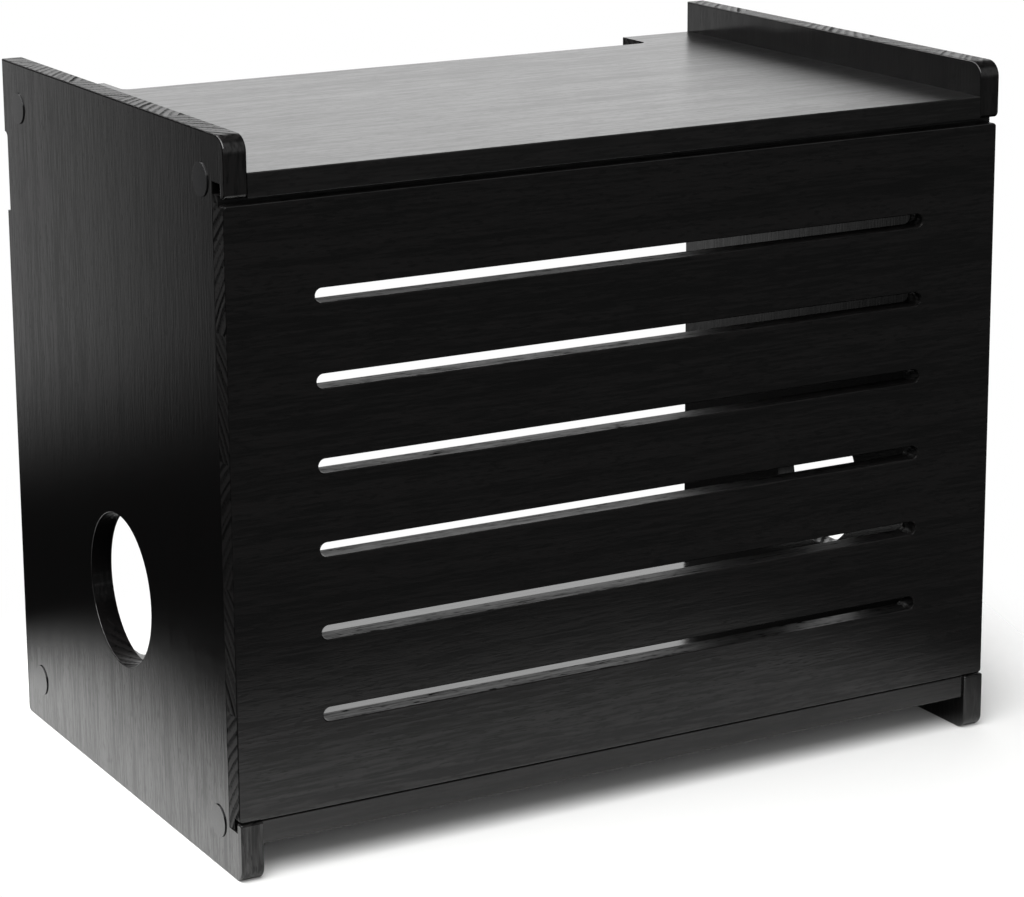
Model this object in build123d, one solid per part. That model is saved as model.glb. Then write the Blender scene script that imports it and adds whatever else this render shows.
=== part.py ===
from build123d import *
import os

# Router storage box: two side panels carry a top and a bottom board, and a slotted front panel slides in them.
# Millimetres. Z is up, the front faces -Y, and the origin is on the floor under the middle of the box.

# Overall sizes
overall_width = 370.0        # over the sides; the cover caps stand proud of them
overall_depth = 239.0
overall_height = 306.0

# Boards
side_thickness = 10.0
top_thickness = 10.0
bottom_thickness = 10.0
panel_thickness = 10.0
lip_height = 14.7            # the sides stand this far above the top board
foot_height = 15.3           # the bottom board is this far above the floor
board_rear_inset = 1.5       # the boards stop this far short of the sides' rear edges
bottom_front_inset = 1.5     # the bottom board's front stands this far behind the noses

# Front panel, its tongues and the grooves that they run in
panel_setback = 1.2          # the panel's face stands this far behind the noses
panel_back_gap = 0.2         # running gap between the panel's back and the sides
nose_thickness = 4.0         # wood in front of each groove
upper_groove_depth = 5.8
lower_groove_depth = 4.1
tongue_thickness = 5.0
tongue_seat_gap = 0.3        # the lower tongue runs this far above its groove's floor
upper_tongue_engagement = 1.1
upper_shoulder_gap = 2.7     # between the panel's upper shoulder and the top board
lower_shoulder_gap = 0.4     # between the panel's lower shoulder and the bottom board

# Vent slots in the front panel
vent_count = 6
vent_width = 6.0
vent_pitch = 34.8
vent_end_margin = 38.5       # wood left at each end of a vent slot

# Cable openings
cable_hole_diameter = 67.0
cable_hole_from_front = 120.5
cable_hole_height = 91.5
cable_notch_width = 274.0
cable_notch_depth = 22.7
cable_notch_corner = 4.0

# Assembly screws, their caps and the dowels
front_screw_inset = 22.0
rear_screw_inset = 19.0
cap_diameter = 13.8
cap_thickness = 0.5          # the cap's disc lies on the side's face
cap_edge_chamfer = 0.25
cap_stem_diameter = 3.4
cap_stem_length = 2.2
screw_sink = 0.8             # the screw heads lie this far below the face
screw_head_diameter = 8.0
screw_head_height = 2.4
screw_shank_diameter = 4.0
screw_length = 36.0
screw_tip_length = 4.0
screw_socket_width = 4.0     # hexagon socket, across flats
screw_socket_depth = 1.6
dowel_diameter = 6.0
dowel_length = 24.0
dowel_in_side = 6.5          # part of the dowel that is in the side panel
dowel_chamfer = 0.8
front_dowel_inset = 60.0
rear_dowel_inset = 57.0
hole_clearance = 0.1         # between a fastener and its hole, on the radius

# Wall hangers in the rear edges of the sides
hanger_recess_height = 36.0
hanger_recess_depth = 3.6
hanger_recess_radius = 2.5
hanger_below_top = 50.5      # from the top of the side to the middle of the recess
hanger_plate_height = 25.6
hanger_plate_width = 8.4
hanger_plate_thickness = 1.5
hanger_plate_radius = 3.0
keyhole_diameter = 6.4
keyhole_slot_width = 3.6
keyhole_slot_rise = 4.4
hanger_pocket_width = 7.0
hanger_pocket_height = 13.6
hanger_pocket_depth = 7.0
hanger_screw_spacing = 20.0
hanger_screw_diameter = 2.2
hanger_screw_length = 12.0
hanger_screw_tip_length = 2.0
hanger_screw_head_diameter = 4.2
hanger_screw_head_height = 1.3
hanger_screw_head_chamfer = 0.6

# Rounded edges
lip_corner_radius = 7.0
foot_corner_radius = 6.0
upper_nose_tip_radius = 2.6
lower_nose_tip_radius = 0.8
nose_inner_radius = 0.8
rear_foot_radius = 2.5
side_arris = 0.7
slot_arris = 0.3
board_arris = 0.5
panel_corner_radius = 1.6
panel_arris = 0.5
tongue_arris = 0.8
vent_arris = 0.4
cable_hole_arris = 0.5

# Levels and faces worked out from the sizes above
front = -overall_depth / 2
rear = overall_depth / 2
side_inner = overall_width / 2 - side_thickness
top_level = overall_height - lip_height
top_underside = top_level - top_thickness
bottom_level = foot_height + bottom_thickness
board_rear = rear - board_rear_inset
board_length = overall_width - 2 * side_thickness
panel_face = front + panel_setback
panel_back = panel_face + panel_thickness
tongue_face = panel_back - tongue_thickness
groove_front = front + nose_thickness
groove_back = panel_back + panel_back_gap
groove_width = groove_back - groove_front
groove_ceiling = top_underside + upper_groove_depth
groove_floor = bottom_level - lower_groove_depth
shoulder_top = top_underside - upper_shoulder_gap
shoulder_bottom = bottom_level + lower_shoulder_gap
tongue_top = top_underside + upper_tongue_engagement
tongue_bottom = groove_floor + tongue_seat_gap
screw_seat_depth = screw_sink + screw_head_height
hanger_middle = overall_height - hanger_below_top
hanger_floor = rear - hanger_recess_depth

screw_places = {"front": front + front_screw_inset, "rear": rear - rear_screw_inset}
dowel_places = {"front": front + front_dowel_inset, "rear": rear - rear_dowel_inset}
board_middles = {
    "top": top_level - top_thickness / 2,
    "bottom": foot_height + bottom_thickness / 2,
}
hanger_screw_heights = {
    "upper": hanger_middle + hanger_screw_spacing / 2,
    "lower": hanger_middle - hanger_screw_spacing / 2,
}
sides = {"left": -1, "right": 1}

TOLERANCE = 1e-4


def round_corner(face, y, z, radius):
    """Round the corner of a profile in the YZ plane that stands at y, z."""
    corner = face.vertices().sort_by_distance(Vector(0, y, z))[0]
    return fillet(corner, radius)


def along_x(diameter, length, start, y, z, direction):
    """Return a cylinder that starts at x = start and runs towards +X or -X."""
    middle = start + direction * length / 2
    return Pos(middle, y, z) * Rot(0, 90, 0) * Cylinder(diameter / 2, length)


def edges_on_x(part, x):
    """Return the edges that lie wholly in the plane at x."""
    return part.edges().filter_by_position(Axis.X, x - TOLERANCE, x + TOLERANCE)


def side_outline():
    """Return the side panel's outline, with its noses, slots and rounded corners, in the YZ plane."""
    points = [
        (0, front, 0),
        (0, front, bottom_level),
        (0, groove_front, bottom_level),
        (0, groove_front, groove_floor),
        (0, groove_back, groove_floor),
        (0, groove_back, groove_ceiling),
        (0, groove_front, groove_ceiling),
        (0, groove_front, top_underside),
        (0, front, top_underside),
        (0, front, overall_height),
        (0, rear, overall_height),
        (0, rear, 0),
    ]
    face = make_face(Polyline(*points, close=True))
    face = round_corner(face, front, overall_height, lip_corner_radius)
    face = round_corner(face, front, 0, foot_corner_radius)
    face = round_corner(face, rear, 0, rear_foot_radius)
    for z, tip_radius in ((bottom_level, lower_nose_tip_radius), (top_underside, upper_nose_tip_radius)):
        face = round_corner(face, front, z, tip_radius)
        face = round_corner(face, groove_front, z, nose_inner_radius)
    return face


def bounds_slot(edge):
    """Tell whether an edge of the side's outline bounds the seat and slots of the front panel."""
    middle = edge.center()
    behind_noses = groove_front + TOLERANCE < middle.Y < groove_back + TOLERANCE
    between_slots = groove_floor - TOLERANCE < middle.Z < groove_ceiling + TOLERANCE
    return behind_noses and between_slots


def hanger_cuts():
    """Return what is cut from a rear edge for the hanger plate: recess, screw-head pocket and pilot holes."""
    recess = Pos(0, hanger_floor + hanger_recess_depth, hanger_middle) * Box(
        3 * side_thickness, 2 * hanger_recess_depth, hanger_recess_height
    )
    upper_edges = recess.edges().filter_by(Axis.X).group_by(Axis.Y)[0].sort_by(Axis.Z)
    recess = fillet(upper_edges[-1], min(hanger_recess_radius, 0.8 * hanger_recess_depth))
    pocket = Pos(0, hanger_floor - hanger_pocket_depth / 2, hanger_middle) * Rot(90, 0, 0) * extrude(
        SlotOverall(hanger_pocket_height, hanger_pocket_width, rotation=90),
        hanger_pocket_depth / 2,
        both=True,
    )
    cuts = [recess, pocket]
    for z in hanger_screw_heights.values():
        depth = hanger_screw_length - hanger_plate_thickness
        pilot = Pos(0, hanger_floor - depth / 2, z) * Rot(90, 0, 0) * Cylinder(
            hanger_screw_diameter / 2 + hole_clearance, depth
        )
        cuts.append(pilot)
    return cuts


def side_panel(side):
    """Return the left or right side panel with its holes and recesses."""
    sign = sides[side]
    outer = sign * overall_width / 2
    inner = sign * side_inner
    panel = Pos((outer + inner) / 2, 0, 0) * extrude(side_outline(), side_thickness / 2, both=True)
    outline = edges_on_x(panel, outer) + edges_on_x(panel, inner)
    panel = fillet([edge for edge in outline if not bounds_slot(edge)], side_arris)
    outline = edges_on_x(panel, outer) + edges_on_x(panel, inner)
    panel = fillet([edge for edge in outline if bounds_slot(edge)], slot_arris)

    hole_y = front + cable_hole_from_front
    panel -= along_x(cable_hole_diameter, side_thickness, outer, hole_y, cable_hole_height, -sign)
    rims = [
        edge
        for edge in panel.edges().filter_by(GeomType.CIRCLE)
        if abs(edge.radius - cable_hole_diameter / 2) < TOLERANCE
    ]
    panel = fillet(rims, cable_hole_arris)

    for z in board_middles.values():
        for y in screw_places.values():
            panel -= along_x(screw_head_diameter + 2 * hole_clearance, screw_seat_depth, outer, y, z, -sign)
            panel -= along_x(screw_shank_diameter + 2 * hole_clearance, side_thickness, outer, y, z, -sign)
        for y in dowel_places.values():
            panel -= along_x(dowel_diameter + 2 * hole_clearance, dowel_in_side, inner, y, z, sign)
    for cut in hanger_cuts():
        panel -= Pos((outer + inner) / 2, 0, 0) * cut
    return panel


def board_end_holes(board, level):
    """Bore the screw and dowel holes in both ends of the top or bottom board."""
    z = board_middles[level]
    screw_hole = screw_shank_diameter + 2 * hole_clearance
    screw_reach = screw_length - (side_thickness - screw_seat_depth)
    dowel_hole = dowel_diameter + 2 * hole_clearance
    dowel_reach = dowel_length - dowel_in_side
    for sign in sides.values():
        end = sign * side_inner
        for y in screw_places.values():
            board -= along_x(screw_hole, screw_reach, end, y, z, -sign)
        for y in dowel_places.values():
            board -= along_x(dowel_hole, dowel_reach, end, y, z, -sign)
    return board


def cable_notch(level):
    """Return what is cut from the rear edge of the top or bottom board for cables."""
    notch = Pos(0, board_rear, board_middles[level]) * Box(
        cable_notch_width, 2 * cable_notch_depth, 3 * top_thickness
    )
    return fillet(notch.edges().filter_by(Axis.Z).group_by(Axis.Y)[0], cable_notch_corner)


def top_board():
    """Return the top board with its groove and rear cable cut-out."""
    depth = board_rear - front
    board = Pos(0, front + depth / 2, top_level - top_thickness / 2) * Box(board_length, depth, top_thickness)
    board = fillet(board.edges().filter_by(Axis.X).group_by(Axis.Y)[0], board_arris)
    groove_middle = groove_front + groove_width / 2
    groove = Pos(0, groove_middle, top_underside) * Box(board_length, groove_width, 2 * upper_groove_depth)
    return board_end_holes(board - groove - cable_notch("top"), "top")


def bottom_board():
    """Return the bottom board with its groove and rear cable cut-out."""
    board_front = front + bottom_front_inset
    depth = board_rear - board_front
    board = Pos(0, board_front + depth / 2, foot_height + bottom_thickness / 2) * Box(
        board_length, depth, bottom_thickness
    )
    board = fillet(board.edges().filter_by(Axis.X).group_by(Axis.Y)[0], board_arris)
    groove_middle = groove_front + groove_width / 2
    groove = Pos(0, groove_middle, bottom_level) * Box(board_length, groove_width, 2 * lower_groove_depth)
    return board_end_holes(board - groove - cable_notch("bottom"), "bottom")


def across_y(outline, z, back, thickness):
    """Return an outline, drawn seen from the front, as a plate with its back at y = back, centred on z."""
    return Pos(0, back, z) * Rot(90, 0, 0) * extrude(outline, thickness)


def front_panel():
    """Return the front panel: a slotted plate on a thinner, taller one whose edges are the tongues."""
    shoulder_height = shoulder_top - shoulder_bottom
    plate = across_y(
        RectangleRounded(overall_width, shoulder_height, panel_corner_radius),
        (shoulder_top + shoulder_bottom) / 2, tongue_face, tongue_face - panel_face,
    )
    plate = fillet(plate.faces().sort_by(Axis.Y)[0].edges(), panel_arris)
    core = across_y(
        Rectangle(overall_width, tongue_top - tongue_bottom),
        (tongue_top + tongue_bottom) / 2, panel_back, tongue_thickness,
    )
    core = fillet(core.edges().filter_by(Axis.X), tongue_arris)
    panel = plate + core
    vent_length = overall_width - 2 * vent_end_margin
    vent_middle = (shoulder_top + shoulder_bottom) / 2
    lowest_vent = vent_middle - vent_pitch * (vent_count - 1) / 2
    for index in range(vent_count):
        outline = SlotOverall(vent_length, vent_width)
        panel -= across_y(outline, lowest_vent + index * vent_pitch, panel_back, panel_thickness)
    for y in (panel_face, panel_back):
        rims = panel.edges().filter_by_position(Axis.Y, y - TOLERANCE, y + TOLERANCE)
        rims = rims.filter_by_position(Axis.X, -overall_width / 2 + vent_end_margin - TOLERANCE,
                                       overall_width / 2 - vent_end_margin + TOLERANCE)
        panel = chamfer(rims, vent_arris)
    return panel


def assembly_screw(side, level, place):
    """Return a screw through a side panel into the end of a board, with its head under the cap."""
    sign = sides[side]
    y = screw_places[place]
    z = board_middles[level]
    seat = sign * (overall_width / 2 - screw_seat_depth)
    head_top = seat + sign * screw_head_height
    head = along_x(screw_head_diameter, screw_head_height, head_top, y, z, -sign)
    straight = screw_length - screw_tip_length
    shank = along_x(screw_shank_diameter, straight, seat, y, z, -sign)
    tip_middle = seat - sign * (straight + screw_tip_length / 2)
    tip = Pos(tip_middle, y, z) * Rot(0, -sign * 90, 0) * Cone(
        screw_shank_diameter / 2, screw_shank_diameter / 8, screw_tip_length
    )
    socket_face = RegularPolygon(screw_socket_width / 2, 6, major_radius=False)
    socket = Pos(head_top - sign * screw_socket_depth / 2, y, z) * Rot(0, 90, 0) * extrude(
        socket_face, screw_socket_depth / 2, both=True
    )
    return head + shank + tip - socket


def cover_cap(side, level, place):
    """Return a cap that covers a screw hole, with a stem that presses into the screw's socket."""
    sign = sides[side]
    y = screw_places[place]
    z = board_middles[level]
    seat = sign * overall_width / 2
    disc = along_x(cap_diameter, cap_thickness, seat, y, z, sign)
    disc = chamfer(edges_on_x(disc, seat + sign * cap_thickness), cap_edge_chamfer)
    stem = along_x(cap_stem_diameter, cap_stem_length, seat, y, z, -sign)
    return disc + stem


def dowel(side, level, place):
    """Return a dowel between a side panel and the end of a board."""
    sign = sides[side]
    outer_end = sign * (side_inner + dowel_in_side)
    pin = along_x(dowel_diameter, dowel_length, outer_end, dowel_places[place], board_middles[level], -sign)
    return chamfer(pin.edges().filter_by(GeomType.CIRCLE), dowel_chamfer)


def hanger_plate(side):
    """Return the keyhole plate that lies in the recess of a side panel's rear edge."""
    middle_x = sides[side] * (overall_width / 2 - side_thickness / 2)
    outline = RectangleRounded(
        hanger_plate_width, hanger_plate_height, min(hanger_plate_radius, 0.45 * hanger_plate_width)
    )
    keyhole_middle = -keyhole_slot_rise / 2
    outline -= Pos(0, keyhole_middle) * Circle(keyhole_diameter / 2)
    slot = Rectangle(keyhole_slot_width, keyhole_slot_rise)
    outline -= Pos(0, keyhole_middle + keyhole_slot_rise / 2) * slot
    outline -= Pos(0, keyhole_middle + keyhole_slot_rise) * Circle(keyhole_slot_width / 2)
    for z in hanger_screw_heights.values():
        outline -= Pos(0, z - hanger_middle) * Circle(hanger_screw_diameter / 2 + hole_clearance)
    plate = Rot(90, 0, 0) * extrude(outline, -hanger_plate_thickness)
    return Pos(middle_x, hanger_floor, hanger_middle) * plate


def hanger_screw(side, place):
    """Return a small pan-headed screw that holds a hanger plate."""
    middle_x = sides[side] * (overall_width / 2 - side_thickness / 2)
    straight = hanger_screw_length - hanger_screw_tip_length
    head = Pos(0, 0, hanger_screw_head_height / 2) * Cylinder(
        hanger_screw_head_diameter / 2, hanger_screw_head_height
    )
    head = chamfer(head.edges().sort_by(Axis.Z)[-1], hanger_screw_head_chamfer)
    shank = Pos(0, 0, -straight / 2) * Cylinder(hanger_screw_diameter / 2, straight)
    tip = Pos(0, 0, -straight - hanger_screw_tip_length / 2) * Cone(
        hanger_screw_diameter / 8, hanger_screw_diameter / 2, hanger_screw_tip_length
    )
    seat = hanger_floor + hanger_plate_thickness
    return Pos(middle_x, seat, hanger_screw_heights[place]) * Rot(-90, 0, 0) * (head + shank + tip)


def build_all():
    """Return every piece by its node name."""
    pieces = {
        "top_board": top_board(),
        "bottom_board": bottom_board(),
        "front_panel": front_panel(),
    }
    for side in sides:
        pieces[f"{side}_side_panel"] = side_panel(side)
        pieces[f"{side}_hanger_plate"] = hanger_plate(side)
        for place in hanger_screw_heights:
            pieces[f"{side}_hanger_{place}_screw"] = hanger_screw(side, place)
        for level in board_middles:
            for place in screw_places:
                pieces[f"{side}_{level}_{place}_screw"] = assembly_screw(side, level, place)
                pieces[f"{side}_{level}_{place}_cap"] = cover_cap(side, level, place)
            for place in dowel_places:
                pieces[f"{side}_{level}_{place}_dowel"] = dowel(side, level, place)
    return pieces


os.makedirs("parts", exist_ok=True)
for node, piece in build_all().items():
    export_step(piece, f"parts/{node}.step")
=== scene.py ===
"""Finishes, small fittings and studio of a black wooden storage box for a network router."""

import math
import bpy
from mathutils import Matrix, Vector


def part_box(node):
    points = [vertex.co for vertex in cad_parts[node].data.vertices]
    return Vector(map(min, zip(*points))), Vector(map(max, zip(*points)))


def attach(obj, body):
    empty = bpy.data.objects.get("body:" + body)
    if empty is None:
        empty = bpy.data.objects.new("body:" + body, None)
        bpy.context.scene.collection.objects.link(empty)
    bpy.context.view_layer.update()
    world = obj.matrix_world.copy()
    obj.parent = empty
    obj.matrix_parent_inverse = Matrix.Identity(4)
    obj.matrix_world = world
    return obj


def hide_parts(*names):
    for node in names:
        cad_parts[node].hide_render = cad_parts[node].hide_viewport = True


bl_info = {
    "name": "Router storage box",
    "version": (1, 0, 0),
    "blender": (4, 5, 0),
    "location": "View3D > Sidebar > Router box",
    "description": "Stains the boards, makes the small fittings and sets the studio of a storage box",
    "category": "Object",
}

import bmesh
import bpy
from bpy.props import FloatProperty, FloatVectorProperty, IntProperty, PointerProperty
from mathutils import Matrix, Vector

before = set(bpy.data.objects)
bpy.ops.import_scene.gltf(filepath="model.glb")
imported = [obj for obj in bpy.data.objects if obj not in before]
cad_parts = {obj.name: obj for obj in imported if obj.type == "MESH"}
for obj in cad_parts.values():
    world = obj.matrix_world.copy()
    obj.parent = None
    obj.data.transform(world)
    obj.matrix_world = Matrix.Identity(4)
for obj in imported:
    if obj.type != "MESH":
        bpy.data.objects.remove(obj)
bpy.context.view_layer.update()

SIDES = {"left": -1, "right": 1}
LEVELS = ("top", "bottom")
PLACES = ("front", "rear")

# Corners sharper than this stay crisp on a smoothly shaded piece
SOLID_CORNER = math.radians(32)

# Facets round a screw, and rings of its mesh in one turn of its thread
SCREW_FACETS = 24
THREAD_STEPS = 8

# Noise runs from 0 to 1 and seldom leaves this range
NOISE_LOW = 0.3
NOISE_HIGH = 0.7

WHITE = (1.0, 1.0, 1.0, 1.0)

# The picture that the camera is set for, in pixels
PICTURE_WIDTH = 1024
PICTURE_HEIGHT = 897


def linear(code):
    """Turn an sRGB hex colour into linear red, green and blue."""
    channels = [int(code[start:start + 2], 16) / 255 for start in (1, 3, 5)]
    return tuple(c / 12.92 if c <= 0.04045 else ((c + 0.055) / 1.055) ** 2.4 for c in channels)


class RouterBoxWood(bpy.types.PropertyGroup):
    """Colour, sheen and grain of the five boards."""

    stain: FloatVectorProperty(
        name="Stain", description="Black stain on the planed faces",
        subtype="COLOR", default=linear("#080808"), min=0, max=1,
    )
    pale_stain: FloatVectorProperty(
        name="Pale stain", description="Stain on the tight streaks, which took less of it",
        subtype="COLOR", default=linear("#0D0C0C"), min=0, max=1,
    )
    end_stain: FloatVectorProperty(
        name="End stain", description="Dry stain on the sawn ends, where the lacquer sinks in",
        subtype="COLOR", default=linear("#161515"), min=0, max=1,
    )
    sheen: FloatProperty(
        name="Lacquer roughness", description="Roughness of the satin lacquer on the upright boards",
        subtype="FACTOR", default=0.13, min=0, max=1,
    )
    top_sheen: FloatProperty(
        name="Top roughness", description="Roughness of the lacquer on the rubbed-down top board",
        subtype="FACTOR", default=0.31, min=0, max=1,
    )
    streak_width: FloatProperty(
        name="Streak width", description="Width of a fibre streak on the face",
        unit="LENGTH", precision=5, default=0.0012,
    )
    streak_length: FloatProperty(
        name="Streak length", description="Length of a fibre streak along the grain",
        unit="LENGTH", precision=4, default=0.020,
    )
    band_width: FloatProperty(
        name="Band width", description="Width of the broad bands of stain along the grain",
        unit="LENGTH", precision=4, default=0.007,
    )
    stave_width: FloatProperty(
        name="Stave width", description="Width of the staves that a board is glued up from",
        unit="LENGTH", precision=4, default=0.052,
    )
    heart_offset: FloatProperty(
        name="Heart offset",
        description="How far beside its own edge a stave's growth rings have their centre",
        unit="LENGTH", precision=4, default=0.050,
    )
    heart_depth: FloatProperty(
        name="Heart depth",
        description="How far above or below the board a stave's growth rings have their centre",
        unit="LENGTH", precision=4, default=0.085,
    )
    ring_spacing: FloatProperty(
        name="Ring spacing", description="Distance between growth rings",
        unit="LENGTH", precision=5, default=0.0040,
    )
    pore_width: FloatProperty(
        name="Pore width", description="Width of an open pore",
        unit="LENGTH", precision=5, default=0.0010,
    )
    pore_length: FloatProperty(
        name="Pore length", description="Length of an open pore along the grain",
        unit="LENGTH", precision=4, default=0.005,
    )
    relief: FloatProperty(
        name="Relief", description="Height of the grain that shows through the lacquer",
        unit="LENGTH", precision=6, default=0.000010,
    )


class RouterBoxFittings(bpy.types.PropertyGroup):
    """Sizes of the small pieces that the boards' own sizes don't give."""

    cap_thickness: FloatProperty(
        name="Cap thickness", description="Thickness of a cover cap's disc",
        unit="LENGTH", precision=5, default=0.0005,
    )
    cap_edge: FloatProperty(
        name="Cap edge", description="Radius of a cover cap's rounded edge",
        unit="LENGTH", precision=5, default=0.00005,
    )
    cap_crown: FloatProperty(
        name="Cap crown", description="How far a cover cap's middle stands above its edge",
        unit="LENGTH", precision=5, default=0.00001,
    )
    cap_stem_radius: FloatProperty(
        name="Cap stem radius", description="Radius of the stem that presses into the screw's socket",
        unit="LENGTH", precision=5, default=0.0016,
    )
    cap_ribs: IntProperty(
        name="Cap ribs", description="Press-fit ribs round a cap's stem", default=6, min=0,
    )
    screw_head_height: FloatProperty(
        name="Screw head", description="Height of an assembly screw's head",
        unit="LENGTH", precision=4, default=0.0024,
    )
    screw_shank_radius: FloatProperty(
        name="Screw shank", description="Outer radius of an assembly screw's thread",
        unit="LENGTH", precision=4, default=0.0020,
    )
    screw_tip: FloatProperty(
        name="Screw tip", description="Length of an assembly screw's point",
        unit="LENGTH", precision=4, default=0.0040,
    )
    thread_pitch: FloatProperty(
        name="Thread pitch", description="Advance of the assembly screw's thread in one turn",
        unit="LENGTH", precision=4, default=0.0018,
    )
    thread_depth: FloatProperty(
        name="Thread depth", description="Depth of the assembly screw's thread",
        unit="LENGTH", precision=5, default=0.0006,
    )
    socket_width: FloatProperty(
        name="Socket width", description="Hexagon socket of an assembly screw, across flats",
        unit="LENGTH", precision=4, default=0.0040,
    )
    socket_depth: FloatProperty(
        name="Socket depth", description="Depth of the hexagon socket",
        unit="LENGTH", precision=4, default=0.0016,
    )
    dowel_flutes: IntProperty(
        name="Dowel flutes", description="Grooves round a dowel", default=16, min=3,
    )
    flute_depth: FloatProperty(
        name="Flute depth", description="Depth of a dowel's grooves",
        unit="LENGTH", precision=5, default=0.00022,
    )
    dowel_chamfer: FloatProperty(
        name="Dowel chamfer", description="Chamfer at a dowel's ends",
        unit="LENGTH", precision=4, default=0.0008,
    )
    hanger_head_height: FloatProperty(
        name="Hanger screw head", description="Height of a hanger screw's pan head",
        unit="LENGTH", precision=4, default=0.0013,
    )
    hanger_shank_radius: FloatProperty(
        name="Hanger screw shank", description="Outer radius of a hanger screw's thread",
        unit="LENGTH", precision=4, default=0.0011,
    )
    hanger_thread_pitch: FloatProperty(
        name="Hanger screw pitch", description="Advance of the hanger screw's thread in one turn",
        unit="LENGTH", precision=4, default=0.0010,
    )
    hanger_thread_depth: FloatProperty(
        name="Hanger thread depth", description="Depth of the hanger screw's thread",
        unit="LENGTH", precision=5, default=0.0003,
    )
    cross_width: FloatProperty(
        name="Cross width", description="Width of a blade of the hanger screws' cross recess",
        unit="LENGTH", precision=5, default=0.0005,
    )
    cross_span: FloatProperty(
        name="Cross span", description="Length of a blade of the hanger screws' cross recess",
        unit="LENGTH", precision=5, default=0.0024,
    )
    cross_depth: FloatProperty(
        name="Cross depth", description="Depth of the hanger screws' cross recess",
        unit="LENGTH", precision=5, default=0.0007,
    )


class RouterBoxStudio(bpy.types.PropertyGroup):
    """Table, light and camera."""

    table_left: FloatProperty(
        name="Table left", description="From the middle of the box to the table's left edge",
        unit="LENGTH", default=0.23,
    )
    table_right: FloatProperty(
        name="Table right", description="From the middle of the box to the table's right edge",
        unit="LENGTH", default=0.27,
    )
    table_taper: FloatProperty(
        name="Table taper",
        description="How far the table's right edge draws in for each metre towards the front",
        default=0.3,
    )
    table_front: FloatProperty(
        name="Table front", description="From the middle of the box to the table's front edge",
        unit="LENGTH", default=0.225,
    )
    table_back: FloatProperty(
        name="Table back", description="From the middle of the box to the table's back edge",
        unit="LENGTH", default=0.20,
    )
    table_soft: FloatProperty(
        name="Table softness",
        description="Half the width over which the table fades out at its sides and back",
        unit="LENGTH", default=0.06,
    )
    table_front_soft: FloatProperty(
        name="Table front softness",
        description="Half the width over which the table fades out at its front",
        unit="LENGTH", default=0.17,
    )
    table_colour: FloatVectorProperty(
        name="Table colour", description="Matt white laminate of the table",
        subtype="COLOR", default=linear("#F4F4F3"), min=0, max=1,
    )
    softbox_power: FloatProperty(
        name="Softbox power", description="Power of the overhead softbox",
        unit="POWER", default=106.0,
    )
    softbox_width: FloatProperty(
        name="Softbox width", description="Size of the overhead softbox from left to right",
        unit="LENGTH", default=1.5,
    )
    softbox_length: FloatProperty(
        name="Softbox length", description="Size of the overhead softbox from front to back",
        unit="LENGTH", default=4.0,
    )
    softbox_place: FloatVectorProperty(
        name="Softbox place", description="Middle of the overhead softbox",
        subtype="XYZ", unit="LENGTH", default=(-0.75, 0.0, 1.5),
    )
    backdrop_distance: FloatProperty(
        name="Backdrop distance", description="From the middle of the box back to the white backdrop",
        unit="LENGTH", default=1.2,
    )
    backdrop_dark: FloatProperty(
        name="Backdrop dark end",
        description="Where the backdrop has gone dark at its left, from the middle of the box",
        unit="LENGTH", default=-0.92,
    )
    backdrop_bright: FloatProperty(
        name="Backdrop bright end",
        description="Where the backdrop is fully bright, from the middle of the box",
        unit="LENGTH", default=0.05,
    )
    backdrop_lean: FloatProperty(
        name="Backdrop lean",
        description="How far the bright part draws in for each metre above the backdrop's bend",
        default=0.8,
    )
    backdrop_bend: FloatProperty(
        name="Backdrop bend", description="Height above which the bright part of the backdrop draws in",
        unit="LENGTH", default=0.15,
    )
    backdrop_right: FloatProperty(
        name="Backdrop right", description="From the middle of the box to the backdrop's right edge",
        unit="LENGTH", default=2.0,
    )
    backdrop_foot: FloatProperty(
        name="Backdrop foot", description="Height of the backdrop's foot above the table",
        unit="LENGTH", default=-0.155,
    )
    backdrop_head: FloatProperty(
        name="Backdrop head", description="Height of the backdrop's upper edge above the table",
        unit="LENGTH", default=1.4,
    )
    backdrop_soft: FloatProperty(
        name="Backdrop softness",
        description="Half the width over which the backdrop fades out at its foot and head",
        unit="LENGTH", default=0.08,
    )
    backdrop_light: FloatProperty(
        name="Backdrop light", description="Strength of the white backdrop", default=1.62, min=0,
    )
    front_light: FloatProperty(
        name="Front light", description="Strength of the wall in front of the box", default=0.45, min=0,
    )
    front_floor: FloatProperty(
        name="Front floor",
        description="Strength of the dim floor in front of the box", default=0.10, min=0,
    )
    room_light: FloatProperty(
        name="Room light", description="Strength of the dark room at the sides", default=0.005, min=0,
    )
    eye: FloatVectorProperty(
        name="Camera place", description="Place of the camera",
        subtype="XYZ", unit="LENGTH", precision=4, default=(-0.6841, -1.2412, 0.5183),
    )
    heading: FloatProperty(
        name="Camera heading", description="Heading of the camera, from +Y to +X",
        subtype="ANGLE", default=math.radians(28.497),
    )
    pitch: FloatProperty(
        name="Camera pitch", description="How far the camera looks up",
        subtype="ANGLE", default=math.radians(-13.322),
    )
    roll: FloatProperty(
        name="Camera roll", description="How far the picture's right side is raised",
        subtype="ANGLE", default=math.radians(-0.516),
    )
    focal_pixels: FloatProperty(
        name="Focal length", description="Focal length in the picture's pixels", default=3244.94,
    )
    axis_pixel: FloatVectorProperty(
        name="Lens axis", description="Pixel of the picture that the lens axis goes through",
        size=2, default=(476.85, 332.65),
    )


def add(tree, kind, inputs=None, **settings):
    """Add a node with its settings, and set or link its inputs."""
    node = tree.nodes.new(kind)
    for name, value in settings.items():
        setattr(node, name, value)
    for socket, value in (inputs or {}).items():
        if isinstance(value, bpy.types.NodeSocket):
            tree.links.new(value, node.inputs[socket])
        else:
            node.inputs[socket].default_value = value
    return node


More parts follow.
